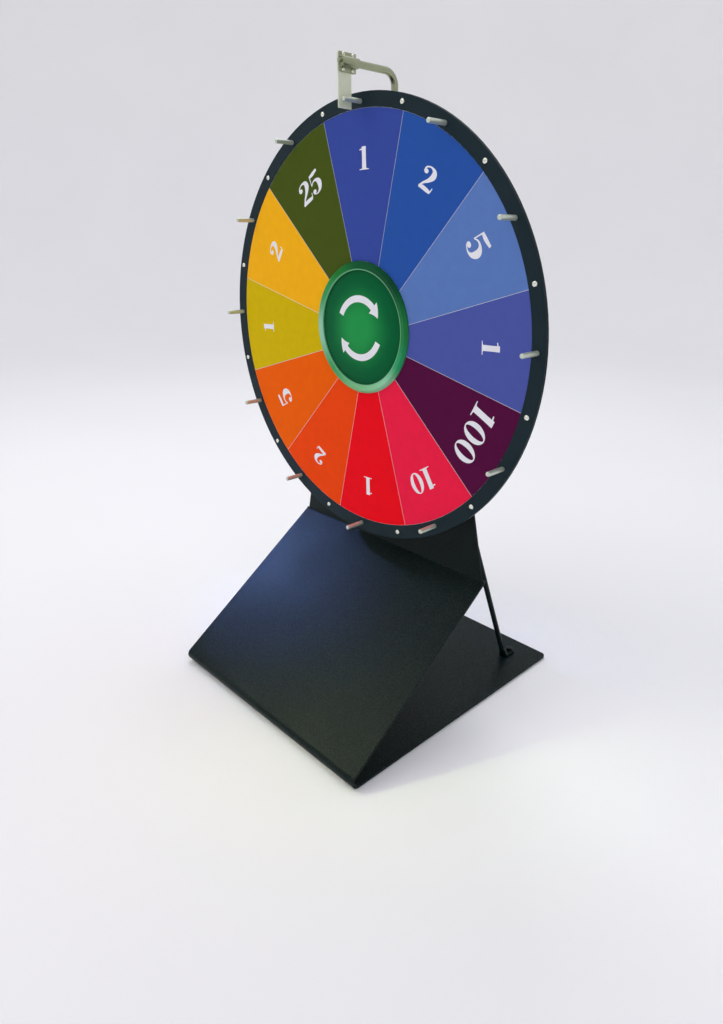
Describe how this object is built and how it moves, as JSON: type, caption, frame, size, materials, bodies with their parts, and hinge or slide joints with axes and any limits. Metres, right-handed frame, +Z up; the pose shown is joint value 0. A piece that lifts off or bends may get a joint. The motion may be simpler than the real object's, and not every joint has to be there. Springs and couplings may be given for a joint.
{
  "type": "game wheel",
  "caption": "Table-top upright game wheel with numbered colour segments, rim pegs, a bent-rod clicker and a folded steel stand.",
  "frame": {"origin": "on the table, under the middle of the base plate", "axes": "+X to the right seen from the front, +Y from the front to the back along the wheel's axle, +Z up"},
  "size_m": [0.6095, 0.421, 0.883],
  "materials": {
    "black_powder_coat": "fine-textured black powder coat on bent steel",
    "rubber": "moulded rubber pad",
    "black_aluminium": "black painted aluminium sheet, satin",
    "black_plastic": "black plastic ring, satin",
    "printed_panel": "printed colour segments on a white plastic sheet, satin",
    "green_plastic": "moulded green plastic, glossy",
    "aluminium": "machined aluminium",
    "turned_steel": "turned steel",
    "bearing_steel": "ground bearing steel",
    "chrome": "polished chrome plating",
    "plated_steel": "zinc-nickel plated steel, satin",
    "zinc_fastener": "zinc plated steel",
    "flapper_plastic": "cream flexible plastic strip"
  },
  "bodies": {
    "stand": {"stand_sheet": "black_powder_coat", "brace_left": "black_powder_coat", "brace_right": "black_powder_coat", "rubber_feet": "rubber", "arm_socket": "aluminium", "axle": "turned_steel", "bearing_spacer": "turned_steel", "retaining_clip": "turned_steel", "front_bearing_inner_race": "bearing_steel", "rear_bearing_inner_race": "bearing_steel", "clicker_arm": "plated_steel", "clamp_plate": "plated_steel", "clamp_saddle": "plated_steel", "brace_top_screws": "zinc_fastener", "brace_foot_screws": "zinc_fastener", "brace_top_nuts": "zinc_fastener", "brace_foot_nuts": "zinc_fastener", "axle_bolts": "zinc_fastener", "axle_nuts": "zinc_fastener", "socket_screws": "zinc_fastener", "socket_nuts": "zinc_fastener", "grub_screws": "zinc_fastener", "clamp_screws": "zinc_fastener", "clamp_nuts": "zinc_fastener"},
    "wheel": {"wheel_disc": "black_aluminium", "rim_ring": "black_plastic", "graphic_panel": "printed_panel", "hub_bezel": "green_plastic", "hub_cap": "green_plastic", "hub_flange": "aluminium", "hub_screws": "zinc_fastener", "rim_screws": "chrome", "rim_nuts": "zinc_fastener", "peg_nuts": "zinc_fastener", "front_bearing_outer_race": "bearing_steel", "rear_bearing_outer_race": "bearing_steel", "peg_01": "chrome", "peg_02": "chrome", "peg_03": "chrome", "peg_04": "chrome", "peg_05": "chrome", "peg_06": "chrome", "peg_07": "chrome", "peg_08": "chrome", "peg_09": "chrome", "peg_10": "chrome", "peg_11": "chrome", "peg_12": "chrome"},
    "ball_sets": {"front_bearing_balls": "bearing_steel", "rear_bearing_balls": "bearing_steel"},
    "flapper": {"flapper_strip": "flapper_plastic"}
  },
  "joints": [
    {"name": "wheel_spin", "type": "hinge", "parent": "stand", "child": "wheel", "pos_m": [0, -0.0118, 0.535], "axis": [0, 1, 0], "continuous": true},
    {"name": "ball_roll", "type": "hinge", "parent": "stand", "child": "ball_sets", "pos_m": [0, -0.0118, 0.535], "axis": [0, 1, 0], "continuous": true},
    {"name": "flapper_flex", "type": "hinge", "parent": "stand", "child": "flapper", "pos_m": [-0.00545, -0.036, 0.8598], "axis": [0, 1, 0], "range_deg": [0, 40], "stiffness_Nm_per_rad": 0.05, "deforming": ["flapper_strip"]}
  ],
  "couplings": [
    {"joint": "ball_roll", "follows": "wheel_spin", "ratio": 0.6154}
  ]
}
